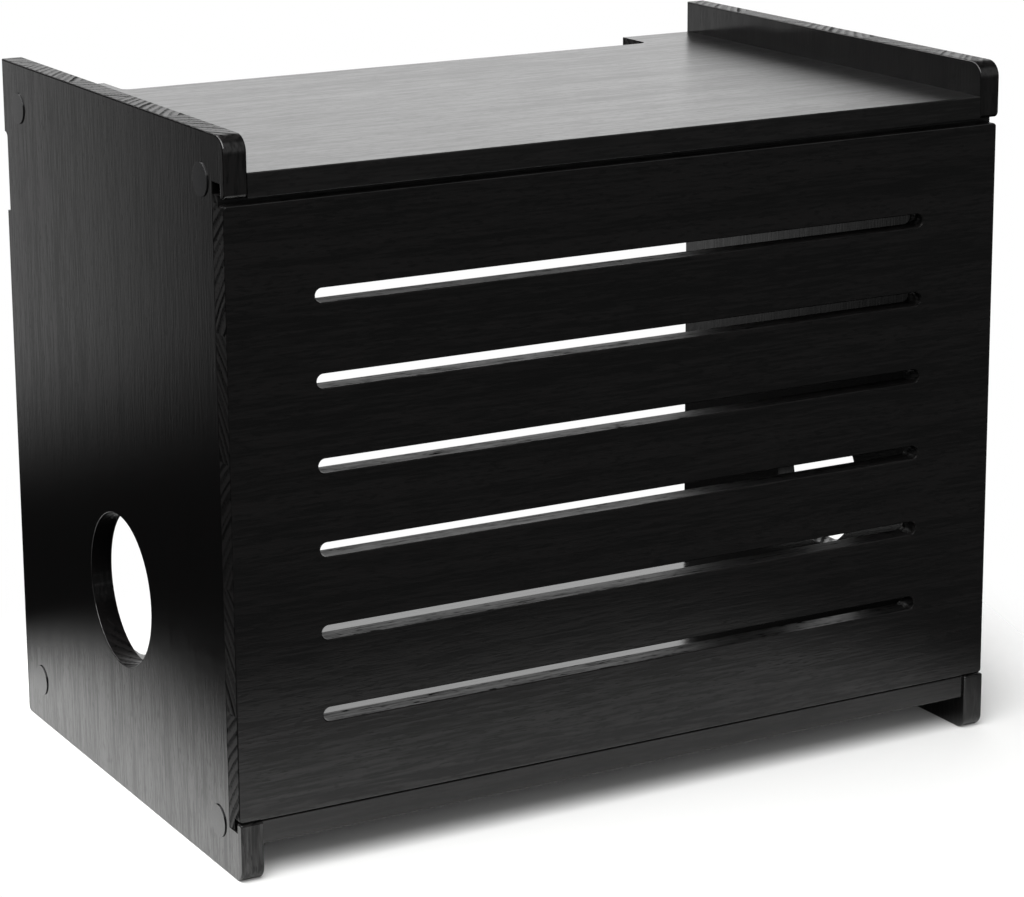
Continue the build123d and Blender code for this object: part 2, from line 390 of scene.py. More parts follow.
def new_material(name):
    """Return an empty material and its node tree."""
    material = bpy.data.materials.new(name)
    material.use_nodes = True
    material.node_tree.nodes.clear()
    return material, material.node_tree


def opaque(colour):
    """Return a colour with full alpha."""
    return (*colour, 1.0)


def stained_paulownia(board, grain, cut, joint, sheen, figure):
    """Paulownia staves, glued edge to edge, planed, stained black and sprayed with a satin lacquer.

    The stain leaves hardly any colour, so the eye reads the wood from its sheen: fibre streaks and pores
    along the grain break up the reflections, and the growth rings show as dark strokes on the end grain,
    which slant one way and then the other from stave to stave. Real fibres and pores are finer than the
    picture shows, so the streaks are drawn 1.2 mm wide and the pores 1 mm.

    Grain names the axes along the grain, across it and through the board, and cut the axes that sawn or
    routed surfaces face. The joint is a point midway through the board where two staves meet, and figure
    is how strongly the streaks show.
    """
    wood = bpy.context.scene.router_box_wood
    material, tree = new_material(f"stained_paulownia_{board}")
    coordinates = add(tree, "ShaderNodeTexCoord")
    place = add(
        tree, "ShaderNodeVectorMath", {0: coordinates.outputs["Object"], 1: joint}, operation="SUBTRACT"
    )
    axes = add(tree, "ShaderNodeSeparateXYZ", {"Vector": place.outputs["Vector"]})
    along, across, through = (axes.outputs[axis] for axis in grain)
    timber = add(
        tree, "ShaderNodeCombineXYZ", {"X": along, "Y": across, "Z": through}
    ).outputs["Vector"]

    # Broad bands of stain, fibre streaks and pores: noises drawn out along the grain, each with its
    # length, its width and how many times finer noise is laid over it
    streaks_per_band = 20
    pore_edge = 0.55
    pore_middle = 0.70
    patterns = {}
    shapes = {
        "bands": (wood.streak_length * streaks_per_band, wood.band_width, 2.0),
        "streaks": (wood.streak_length, wood.streak_width, 3.0),
        "pores": (wood.pore_length, wood.pore_width, 1.0),
    }
    for name, (length, width, detail) in shapes.items():
        size = add(
            tree, "ShaderNodeVectorMath", {0: timber, 1: (1 / length, 1 / width, 1 / width)},
            operation="MULTIPLY",
        )
        noise = add(
            tree, "ShaderNodeTexNoise", {"Vector": size.outputs["Vector"], "Scale": 1.0, "Detail": detail}
        )
        patterns[name] = noise.outputs["Fac"]
    pores = add(
        tree, "ShaderNodeMapRange",
        {"Value": patterns["pores"], "From Min": pore_edge, "From Max": pore_middle},
        interpolation_type="SMOOTHSTEP",
    ).outputs["Result"]

    # Staves: each has the centre of its rings beside it, below and above the board by turns
    strips = add(
        tree, "ShaderNodeMath", {0: across, 1: wood.stave_width}, operation="DIVIDE"
    ).outputs["Value"]
    stave = add(tree, "ShaderNodeMath", {0: strips}, operation="FLOOR").outputs["Value"]
    odd = add(tree, "ShaderNodeMath", {0: stave, 1: 2.0}, operation="FLOORED_MODULO").outputs["Value"]
    height = add(
        tree, "ShaderNodeMapRange", {"Value": odd, "To Min": wood.heart_depth, "To Max": -wood.heart_depth}
    ).outputs["Result"]
    from_edge = add(
        tree, "ShaderNodeMath", {0: stave, 1: -wood.stave_width, 2: across}, operation="MULTIPLY_ADD"
    ).outputs["Value"]
    beside = add(
        tree, "ShaderNodeMath", {0: from_edge, 1: wood.heart_offset}, operation="ADD"
    ).outputs["Value"]
    over = add(tree, "ShaderNodeMath", {0: through, 1: height}, operation="ADD").outputs["Value"]

    # Growth rings: round that centre, of uneven width and strength, that darken slowly and end sharply.
    # Staves come from places in the log that are many rings apart, so no two have the same rings.
    rings_apart = 37.0
    changes_per_ring = 0.7
    unevenness = 0.9
    waviness = 0.25
    late_start = 0.22
    late_full = 0.72
    weakest = 0.5
    section = add(tree, "ShaderNodeCombineXYZ", {"Y": beside, "Z": over}).outputs["Vector"]
    radius = add(tree, "ShaderNodeVectorMath", {0: section}, operation="LENGTH").outputs["Value"]
    count = add(
        tree, "ShaderNodeMath", {0: radius, 1: wood.ring_spacing}, operation="DIVIDE"
    ).outputs["Value"]
    layer = add(
        tree, "ShaderNodeMath", {0: stave, 1: rings_apart, 2: count}, operation="MULTIPLY_ADD"
    ).outputs["Value"]
    seasons = add(
        tree, "ShaderNodeTexNoise", {"W": layer, "Scale": changes_per_ring, "Detail": 1.0},
        noise_dimensions="1D",
    ).outputs["Fac"]
    uneven = add(
        tree, "ShaderNodeMath", {0: seasons, 1: unevenness, 2: layer}, operation="MULTIPLY_ADD"
    ).outputs["Value"]
    wander = add(
        tree, "ShaderNodeMath", {0: patterns["bands"], 1: waviness, 2: uneven}, operation="MULTIPLY_ADD"
    ).outputs["Value"]
    year = add(tree, "ShaderNodeMath", {0: wander}, operation="FLOOR").outputs["Value"]
    growth = add(tree, "ShaderNodeMath", {0: wander}, operation="FRACT").outputs["Value"]
    late_wood = add(
        tree, "ShaderNodeMapRange", {"Value": growth, "From Min": late_start, "From Max": late_full},
        interpolation_type="SMOOTHSTEP",
    ).outputs["Result"]
    vigour = add(tree, "ShaderNodeTexWhiteNoise", {"W": year}, noise_dimensions="1D").outputs["Value"]
    strength = add(
        tree, "ShaderNodeMapRange", {"Value": vigour, "To Min": weakest, "To Max": 1.0}
    ).outputs["Result"]
    rings = add(tree, "ShaderNodeMath", {0: late_wood, 1: strength}, operation="MULTIPLY").outputs["Value"]

    # Cut surfaces: the ends and what else was sawn or routed, by how squarely they face along an axis
    askew = 0.55
    square = 0.9
    turned_to = add(
        tree, "ShaderNodeVectorMath", {0: coordinates.outputs["Normal"]}, operation="ABSOLUTE"
    ).outputs["Vector"]
    faces = []
    for faced in (cut, grain[0]):
        chosen = tuple(float(axis in faced) for axis in "XYZ")
        facing = add(
            tree, "ShaderNodeVectorMath", {0: turned_to, 1: chosen}, operation="DOT_PRODUCT"
        ).outputs["Value"]
        faces.append(add(
            tree, "ShaderNodeMapRange", {"Value": facing, "From Min": askew, "From Max": square},
            interpolation_type="SMOOTHSTEP",
        ).outputs["Result"])
    cut_face, end_face = faces

    # Openness: 0 in tight streaks and early wood, 1 in pores and late wood, where the lacquer sinks in
    band_share = 0.6
    tight = 0.67
    open_grain = 0.95
    face_pores = 0.8
    cut_pores = 0.5
    routed_share = 0.8
    fibres = add(
        tree, "ShaderNodeMath", {0: patterns["bands"], 1: band_share, 2: patterns["streaks"]},
        operation="MULTIPLY_ADD",
    ).outputs["Value"]
    loose = add(
        tree, "ShaderNodeMapRange", {"Value": fibres, "From Min": tight, "From Max": open_grain}
    ).outputs["Result"]
    face_open = add(
        tree, "ShaderNodeMath", {0: pores, 1: face_pores, 2: loose}, operation="MULTIPLY_ADD",
        use_clamp=True,
    ).outputs["Value"]
    routed = add(tree, "ShaderNodeMath", {0: loose, 1: routed_share}, operation="MULTIPLY").outputs["Value"]
    cut_grain = add(
        tree, "ShaderNodeMix", {0: end_face, 2: routed, 3: rings}, data_type="FLOAT"
    ).outputs[0]
    cut_open = add(
        tree, "ShaderNodeMath", {0: pores, 1: cut_pores, 2: cut_grain}, operation="MULTIPLY_ADD",
        use_clamp=True,
    ).outputs["Value"]
    openness = add(
        tree, "ShaderNodeMix", {0: cut_face, 2: face_open, 3: cut_open}, data_type="FLOAT"
    ).outputs[0]
    pale = add(
        tree, "ShaderNodeMix",
        {0: cut_face, 6: opaque(wood.pale_stain), 7: opaque(wood.end_stain)}, data_type="RGBA",
    ).outputs[2]
    stain = add(
        tree, "ShaderNodeMix", {0: openness, 6: pale, 7: opaque(wood.stain)}, data_type="RGBA"
    ).outputs[2]

    # Sheen: a sunk lacquer reflects less and blurs more, most of all where the wood is cut
    lacquer = 0.5
    gloss_swing = 0.1 * figure
    blur_swing = 0.02 * figure
    cut_lacquer = 0.07
    cut_blur = 0.20
    face_gloss = add(
        tree, "ShaderNodeMapRange",
        {"Value": openness, "To Min": lacquer + gloss_swing, "To Max": lacquer - gloss_swing},
    ).outputs["Result"]
    cut_gloss = add(
        tree, "ShaderNodeMapRange", {"Value": openness, "To Min": cut_lacquer, "To Max": 0.0}
    ).outputs["Result"]
    gloss = add(
        tree, "ShaderNodeMix", {0: cut_face, 2: face_gloss, 3: cut_gloss}, data_type="FLOAT"
    ).outputs[0]
    blur = add(
        tree, "ShaderNodeMapRange",
        {"Value": openness, "To Min": sheen - blur_swing, "To Max": sheen + blur_swing},
    ).outputs["Result"]
    rough = add(
        tree, "ShaderNodeMath", {0: cut_face, 1: cut_blur, 2: blur}, operation="MULTIPLY_ADD"
    ).outputs["Value"]

    # Relief: streaks and pores on the faces, and on the ends the rings, as ridges several times as high
    ridge_height = 6.0
    ridges = add(tree, "ShaderNodeMath", {0: rings, 1: ridge_height}, operation="MULTIPLY").outputs["Value"]
    depth = add(
        tree, "ShaderNodeMix", {0: end_face, 2: face_open, 3: ridges}, data_type="FLOAT"
    ).outputs[0]
    bump = add(
        tree, "ShaderNodeBump", {"Strength": 1.0, "Distance": wood.relief, "Height": depth}, invert=True
    )
    shader = add(
        tree, "ShaderNodeBsdfPrincipled",
        {"Base Color": stain, "Roughness": rough, "IOR": 1.5, "Specular IOR Level": gloss,
         "Normal": bump.outputs["Normal"]},
    )
    add(tree, "ShaderNodeOutputMaterial", {"Surface": shader.outputs["BSDF"]})
    return material


def moulded_abs():
    """ABS caps, injection moulded in black with a fine spark-eroded grain.

    The grain makes the highlight about as soft as the lacquer's, but without streaks, so the caps look
    plain beside the wood. The real grit is about 0.05 mm, too fine to show, so it is drawn at 0.25 mm.
    """
    grit = 0.00025
    grit_depth = grit / 40
    smoothest = 0.11
    roughest = 0.17
    material, tree = new_material("moulded_abs_black")
    coordinates = add(tree, "ShaderNodeTexCoord")
    grains = add(
        tree, "ShaderNodeTexNoise",
        {"Vector": coordinates.outputs["Object"], "Scale": 1 / grit, "Detail": 2.0},
    ).outputs["Fac"]
    rough = add(
        tree, "ShaderNodeMapRange",
        {"Value": grains, "From Min": NOISE_LOW, "From Max": NOISE_HIGH,
         "To Min": smoothest, "To Max": roughest},
    ).outputs["Result"]
    bump = add(tree, "ShaderNodeBump", {"Strength": 0.5, "Distance": grit_depth, "Height": grains})
    shader = add(
        tree, "ShaderNodeBsdfPrincipled",
        {"Base Color": opaque(linear("#161617")), "Roughness": rough, "IOR": 1.53,
         "Normal": bump.outputs["Normal"]},
    )
    add(tree, "ShaderNodeOutputMaterial", {"Surface": shader.outputs["BSDF"]})
    return material


def zinc_plate(name, pale, dark, sheen):
    """Steel, cold headed and rolled, then plated with zinc.

    Plating leaves soft cloudy patches a few millimetres wide over a fine crystal bloom, so the metal
    looks grey and a little blotchy instead of mirror bright.
    """
    cloud = 0.0025
    bloom = 0.08
    material, tree = new_material(name)
    coordinates = add(tree, "ShaderNodeTexCoord")
    clouds = add(
        tree, "ShaderNodeTexNoise",
        {"Vector": coordinates.outputs["Object"], "Scale": 1 / cloud, "Detail": 4.0},
    ).outputs["Fac"]
    colour = add(
        tree, "ShaderNodeMix", {0: clouds, 6: opaque(linear(dark)), 7: opaque(linear(pale))},
        data_type="RGBA",
    ).outputs[2]
    rough = add(
        tree, "ShaderNodeMapRange",
        {"Value": clouds, "From Min": NOISE_LOW, "From Max": NOISE_HIGH,
         "To Min": sheen - bloom, "To Max": sheen + bloom},
    ).outputs["Result"]
    shader = add(
        tree, "ShaderNodeBsdfPrincipled", {"Base Color": colour, "Metallic": 1.0, "Roughness": rough}
    )
    add(tree, "ShaderNodeOutputMaterial", {"Surface": shader.outputs["BSDF"]})
    return material


def milled_beech():
    """Beech dowels, milled and left bare.

    Bare beech is pale pinkish brown and dull, with short dark flecks along the grain.
    """
    fleck_length = 0.0025
    fleck_width = 0.0003
    fleck_depth = 0.00002
    fleck_edge = 0.5
    fleck_middle = 0.7
    material, tree = new_material("milled_beech")
    coordinates = add(tree, "ShaderNodeTexCoord")
    size = add(
        tree, "ShaderNodeVectorMath",
        {0: coordinates.outputs["Object"], 1: (1 / fleck_length, 1 / fleck_width, 1 / fleck_width)},
        operation="MULTIPLY",
    )
    flecks = add(
        tree, "ShaderNodeTexNoise", {"Vector": size.outputs["Vector"], "Scale": 1.0, "Detail": 2.0}
    ).outputs["Fac"]
    dark = add(
        tree, "ShaderNodeMapRange", {"Value": flecks, "From Min": fleck_edge, "From Max": fleck_middle},
        interpolation_type="SMOOTHSTEP",
    ).outputs["Result"]
    colour = add(
        tree, "ShaderNodeMix", {0: dark, 6: opaque(linear("#D2AC82")), 7: opaque(linear("#9C7148"))},
        data_type="RGBA",
    ).outputs[2]
    bump = add(tree, "ShaderNodeBump", {"Strength": 0.4, "Distance": fleck_depth, "Height": flecks})
    shader = add(
        tree, "ShaderNodeBsdfPrincipled",
        {"Base Color": colour, "Roughness": 0.62, "IOR": 1.5, "Normal": bump.outputs["Normal"]},
    )
    add(tree, "ShaderNodeOutputMaterial", {"Surface": shader.outputs["BSDF"]})
    return material


def inside_edges(tree, edges):
    """Return a socket that is 1 inside a set of soft edges and falls to 0 outside them.

    Each edge is a value, where it has fallen to 0 and where it reaches 1.
    """
    inside = None
    for value, gone, full in edges:
        share = add(
            tree, "ShaderNodeMapRange", {"Value": value, "From Min": gone, "From Max": full},
            interpolation_type="SMOOTHSTEP",
        ).outputs["Result"]
        if inside is not None:
            share = add(
                tree, "ShaderNodeMath", {0: inside, 1: share}, operation="MULTIPLY"
            ).outputs["Value"]
        inside = share
    return inside


def white_laminate(studio):
    """Matt white laminate of the table: plain, with an even dull sheen.

    Its edges fade out to nothing: a painted pool of light that stands in for the light falling off
    across a larger table, so its mirror image in the lacquer has no hard edge.
    """
    material, tree = new_material("white_laminate")
    coordinates = add(tree, "ShaderNodeTexCoord")
    axes = add(tree, "ShaderNodeSeparateXYZ", {"Vector": coordinates.outputs["Object"]})
    x = axes.outputs["X"]
    y = axes.outputs["Y"]
    soft = studio.table_soft
    front_soft = studio.table_front_soft
    tapered = add(
        tree, "ShaderNodeMath", {0: y, 1: -studio.table_taper, 2: x}, operation="MULTIPLY_ADD"
    ).outputs["Value"]
    # Painted pool of light: 1 in the middle of the table, falling to 0 over its soft edges
    lit = inside_edges(tree, [
        (x, -studio.table_left - soft, -studio.table_left + soft),
        (tapered, studio.table_right + soft, studio.table_right - soft),
        (y, -studio.table_front - front_soft, -studio.table_front + front_soft),
        (y, studio.table_back + soft, studio.table_back - soft),
    ])
    nothing = add(tree, "ShaderNodeBsdfTransparent")
    board = add(
        tree, "ShaderNodeBsdfPrincipled",
        {"Base Color": opaque(studio.table_colour), "Roughness": 0.9, "IOR": 1.4},
    )
    shader = add(
        tree, "ShaderNodeMixShader", {0: lit, 1: nothing.outputs["BSDF"], 2: board.outputs["BSDF"]}
    )
    add(tree, "ShaderNodeOutputMaterial", {"Surface": shader.outputs["Shader"]})
    return material


def backlit_paper(studio):
    """Seamless white paper, lit from behind.

    It glows evenly and gives the lacquer something white to mirror. It goes dark towards its left, where
    the lamps behind it end, so the sheen on the side panels fades from the back to the front.
    """
    material, tree = new_material("backlit_paper")
    coordinates = add(tree, "ShaderNodeTexCoord")
    axes = add(tree, "ShaderNodeSeparateXYZ", {"Vector": coordinates.outputs["Object"]})
    x = axes.outputs["X"]
    z = axes.outputs["Z"]
    soft = studio.backdrop_soft
    rise = add(
        tree, "ShaderNodeMath", {0: z, 1: studio.backdrop_bend}, operation="SUBTRACT"
    ).outputs["Value"]
    above = add(tree, "ShaderNodeMath", {0: rise, 1: 0.0}, operation="MAXIMUM").outputs["Value"]
    leaning = add(
        tree, "ShaderNodeMath", {0: above, 1: -studio.backdrop_lean, 2: x}, operation="MULTIPLY_ADD"
    ).outputs["Value"]
    lit = inside_edges(tree, [
        (leaning, studio.backdrop_dark, studio.backdrop_bright),
        (z, studio.backdrop_foot - soft, studio.backdrop_foot + soft),
        (z, studio.backdrop_head + soft, studio.backdrop_head - soft),
    ])
    nothing = add(tree, "ShaderNodeBsdfTransparent")
    glow = add(tree, "ShaderNodeEmission", {"Color": WHITE, "Strength": studio.backdrop_light})
    shader = add(
        tree, "ShaderNodeMixShader", {0: lit, 1: nothing.outputs["BSDF"], 2: glow.outputs["Emission"]}
    )
    add(tree, "ShaderNodeOutputMaterial", {"Surface": shader.outputs["Shader"]})
    return material


def flat_sheet(name, outline, material):
    """Make an object of one flat face."""
    mesh = bpy.data.meshes.new(name)
    mesh.from_pydata(outline, [], [range(len(outline))])
    mesh.materials.append(material)
    sheet = bpy.data.objects.new(name, mesh)
    bpy.context.scene.collection.objects.link(sheet)
    return sheet


def turned(name, stations, sides, ripple=None):
    """Make an object turned about +Z from (height, radius) stations.

    ripple(angle, height) is added to the radius, for threads, flutes and ribs.
    """
    work = bmesh.new()
    rings = []
    for height, radius in stations:
        ring = []
        for side in range(sides):
            angle = 2 * math.pi * side / sides
            reach = radius + (ripple(angle, height) if ripple else 0.0)
            ring.append(work.verts.new((reach * math.cos(angle), reach * math.sin(angle), height)))
        rings.append(ring)
    for lower, upper in zip(rings, rings[1:]):
        for side in range(sides):
            after = (side + 1) % sides
            work.faces.new((lower[side], lower[after], upper[after], upper[side]))
    work.faces.new(tuple(reversed(rings[0])))
    work.faces.new(tuple(rings[-1]))
    mesh = bpy.data.meshes.new(name)
    work.to_mesh(mesh)
    work.free()
    piece = bpy.data.objects.new(name, mesh)
    bpy.context.scene.collection.objects.link(piece)
    return piece


def carve(piece, cutter):
    """Cut one mesh out of another, and throw the cutter away."""
    cut = piece.modifiers.new("carve", "BOOLEAN")
    cut.operation = "DIFFERENCE"
    cut.solver = "EXACT"
    cut.object = cutter
    bpy.context.view_layer.update()
    carved = bpy.data.meshes.new_from_object(piece.evaluated_get(bpy.context.evaluated_depsgraph_get()))
    piece.modifiers.remove(cut)
    if len(carved.polygons) <= len(piece.data.polygons):
        raise RuntimeError(f"the recess in {piece.name} wasn't cut")
    piece.data = carved
    bpy.data.objects.remove(cutter)


def seat(piece, node, foot, direction, material):
    """Stand a piece that was made along +Z on foot, pointing in direction, in place of a CAD node."""
    turn = Vector((0, 0, 1)).rotation_difference(Vector(direction)).to_matrix().to_4x4()
    piece.data.transform(Matrix.Translation(foot) @ turn)
    piece.data.shade_smooth()
    piece.data.set_sharp_from_angle(angle=SOLID_CORNER)
    piece.data.materials.clear()
    piece.data.materials.append(material)
    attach(piece, "carcass")
    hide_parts(node)


def middle_of(node):
    """Return the middle of a CAD node's box, and half its size."""
    low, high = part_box(node)
    return (low + high) / 2, (high - low) / 2


def corners():
    """Yield the name of each corner where a side meets a board, and which way along X its outside is."""
    for side, sign in SIDES.items():
        for level in LEVELS:
            for place in PLACES:
                yield f"{side}_{level}_{place}", sign


def quarter_round(height, radius, edge, steps=4):
    """Return stations that round the edge of a disc, from its side up to its top at height."""
    stations = []
    for step in range(steps + 1):
        angle = math.pi / 2 * step / steps
        stations.append((height - edge + edge * math.sin(angle), radius - edge + edge * math.cos(angle)))
    return stations


def threaded(length, pitch, depth):
    """Return a ripple that winds a thread of that pitch and depth round a shank from height 0."""
    crest_share = 0.35

    def thread(angle, height):
        if height > length:
            return 0.0
        turn = (height / pitch - angle / (2 * math.pi)) % 1
        flank = max(0.0, 1 - abs(turn - 0.5) / crest_share)
        run_out = min(1.0, height / (2 * pitch), (length - height) / pitch)
        return depth * flank * max(0.0, run_out)

    return thread


def shank_stations(length, radius, depth, tip, step):
    """Return the stations of a threaded shank's root, with a point at height 0."""
    root = radius - depth
    point = radius / 6
    stations = []
    count = round(length / step)
    for index in range(count + 1):
        height = length * index / count
        stations.append((height, root if height > tip else point + (root - point) * height / tip))
    return stations


class ROUTERBOX_OT_boards(bpy.types.Operator):
    """Give the five boards their stained wood, each with its own piece of timber"""

    bl_idname = "router_box.boards"
    bl_label = "Stain the boards"

    def execute(self, context):
        wood = context.scene.router_box_wood
        # Axes along the grain, across it and through the board; axes that cut surfaces face; joint, whose
        # place along the grain gives each board a piece of timber of its own; sheen; figure
        boards = {
            "left_side_panel": ("ZYX", "Z", (-0.18, -0.011, 0.0), wood.sheen, 1.8),
            "right_side_panel": ("ZYX", "Z", (0.18, 0.023, 0.6), wood.sheen, 1.0),
            "top_board": ("XYZ", "X", (0.7, 0.02, 0.285), wood.top_sheen, 1.0),
            "bottom_board": ("XYZ", "X", (1.3, -0.03, 0.021), wood.sheen, 0.35),
            "front_panel": ("XZY", "XZ", (1.9, -0.113, 0.019), wood.sheen, 0.9),
        }
        for node, timber in boards.items():
            material = stained_paulownia(node, *timber)
            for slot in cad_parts[node].material_slots:
                slot.material = material
        return {"FINISHED"}


class ROUTERBOX_OT_cover_caps(bpy.types.Operator):
    """Make the eight cover caps with their crowned discs and ribbed stems"""

    bl_idname = "router_box.cover_caps"
    bl_label = "Make the cover caps"

    def execute(self, context):
        fittings = context.scene.router_box_fittings
        material = moulded_abs()
        thickness = fittings.cap_thickness
        rim = thickness - fittings.cap_crown
        stem = fittings.cap_stem_radius
        rib_height = 0.00008
        ease = 0.00005
        facets = 48
        crown_steps = 5
        smallest_ring = 0.0004

        def ribs(angle, height):
            return rib_height * math.cos(fittings.cap_ribs * angle) if height < 0 else 0.0

        for corner, sign in corners():
            node = f"{corner}_cap"
            centre, half = middle_of(node)
            radius = half.y
            stem_length = 2 * half.x - thickness
            stations = [(-stem_length, stem - ease), (-stem_length + ease, stem), (0.0, stem)]
            stations += [(0.0, radius - ease), (ease, radius)]
            stations += quarter_round(rim, radius, fittings.cap_edge)
            flat = radius - fittings.cap_edge - ease
            for step in range(crown_steps + 1):
                share = 1 - step / crown_steps
                height = rim + fittings.cap_crown * (1 - share ** 2)
                stations.append((height, max(flat * share, smallest_ring)))
            cap = turned(f"{corner}_cover_cap", stations, facets, ribs)
            foot = Vector((centre.x + sign * (half.x - thickness), centre.y, centre.z))
            seat(cap, node, foot, (sign, 0, 0), material)
        return {"FINISHED"}


class ROUTERBOX_OT_assembly_screws(bpy.types.Operator):
    """Make the eight threaded assembly screws with their hexagon sockets"""

    bl_idname = "router_box.assembly_screws"
    bl_label = "Make the assembly screws"

    def execute(self, context):
        fittings = context.scene.router_box_fittings
        material = zinc_plate("zinc_plated_steel", pale="#C9CCCE", dark="#A9ADB0", sheen=0.34)
        head = fittings.screw_head_height
        edge = head / 6
        shank = fittings.screw_shank_radius
        pitch = fittings.thread_pitch
        depth = fittings.thread_depth
        hexagon = 6
        socket = fittings.socket_width / math.sqrt(3)
        for corner, sign in corners():
            node = f"{corner}_screw"
            centre, half = middle_of(node)
            length = 2 * half.x - head
            # A fifth of the shank, next to the head, has no thread
            thread_end = length - length / 5
            stations = shank_stations(thread_end, shank, depth, fittings.screw_tip, pitch / THREAD_STEPS)
            stations += [(thread_end, shank), (length, shank)]
            stations += [(length, half.y - edge), (length + edge, half.y)]
            stations += quarter_round(length + head, half.y, edge)
            thread = threaded(thread_end, pitch, depth)
            screw = turned(f"{corner}_hex_screw", stations, SCREW_FACETS, thread)
            bottom = length + head - fittings.socket_depth
            carve(screw, turned("socket", [(bottom, socket), (length + 2 * head, socket)], hexagon))
            foot = Vector((centre.x - sign * half.x, centre.y, centre.z))
            seat(screw, node, foot, (sign, 0, 0), material)
        return {"FINISHED"}


class ROUTERBOX_OT_dowels(bpy.types.Operator):
    """Make the eight fluted dowels"""

    bl_idname = "router_box.dowels"
    bl_label = "Make the dowels"

    def execute(self, context):
        fittings = context.scene.router_box_fittings
        material = milled_beech()
        chamfer = fittings.dowel_chamfer
        facets_per_flute = 6
        facets = facets_per_flute * fittings.dowel_flutes

        def flutes(angle, height):
            groove = max(0.0, math.cos(fittings.dowel_flutes * angle))
            return -fittings.flute_depth * groove ** 2

        for corner, sign in corners():
            node = f"{corner}_dowel"
            centre, half = middle_of(node)
            length = 2 * half.x
            radius = half.y
            stations = [(0.0, radius - chamfer), (chamfer / 3, radius - chamfer / 2), (chamfer, radius)]
            stations += [(length - height, reach) for height, reach in reversed(stations)]
            dowel = turned(f"{corner}_fluted_dowel", stations, facets, flutes)
            foot = Vector((centre.x - sign * half.x, centre.y, centre.z))
            seat(dowel, node, foot, (sign, 0, 0), material)
        return {"FINISHED"}


class ROUTERBOX_OT_wall_hangers(bpy.types.Operator):
    """Finish the two keyhole plates and make their four cross-head screws"""

    bl_idname = "router_box.wall_hangers"
    bl_label = "Make the wall hangers"

    def execute(self, context):
        fittings = context.scene.router_box_fittings
        material = zinc_plate("black_zinc_plated_steel", pale="#3A3B3F", dark="#26272A", sheen=0.36)
        head = fittings.hanger_head_height
        edge = head / 8
        dome = 0.7 * head
        shank = fittings.hanger_shank_radius
        pitch = fittings.hanger_thread_pitch
        depth = fittings.hanger_thread_depth
        blade_size = (fittings.cross_span, fittings.cross_width, 2 * fittings.cross_depth, 1)
        for side in SIDES:
            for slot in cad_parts[f"{side}_hanger_plate"].material_slots:
                slot.material = material
            for place in ("upper", "lower"):
                node = f"{side}_hanger_{place}_screw"
                centre, half = middle_of(node)
                length = 2 * half.y - head
                tip = length / 6
                stations = shank_stations(length, shank, depth, tip, pitch / THREAD_STEPS)
                stations += [(length, half.x - edge), (length + edge, half.x)]
                stations += quarter_round(length + head, half.x, dome)
                thread = threaded(length, pitch, depth)
                screw = turned(f"{side}_hanger_{place}_cross_screw", stations, SCREW_FACETS, thread)
                lift = Matrix.Translation((0, 0, length + head))
                for turn in (0.0, math.pi / 2):
                    blade = bmesh.new()
                    bmesh.ops.create_cube(blade, size=1.0)
                    blade.transform(lift @ Matrix.Rotation(turn, 4, "Z") @ Matrix.Diagonal(blade_size))
                    mesh = bpy.data.meshes.new("blade")
                    blade.to_mesh(mesh)
                    blade.free()
                    cutter = bpy.data.objects.new("blade", mesh)
                    context.scene.collection.objects.link(cutter)
                    carve(screw, cutter)
                foot = Vector((centre.x, centre.y - half.y, centre.z))
                seat(screw, node, foot, (0, 1, 0), material)
        return {"FINISHED"}


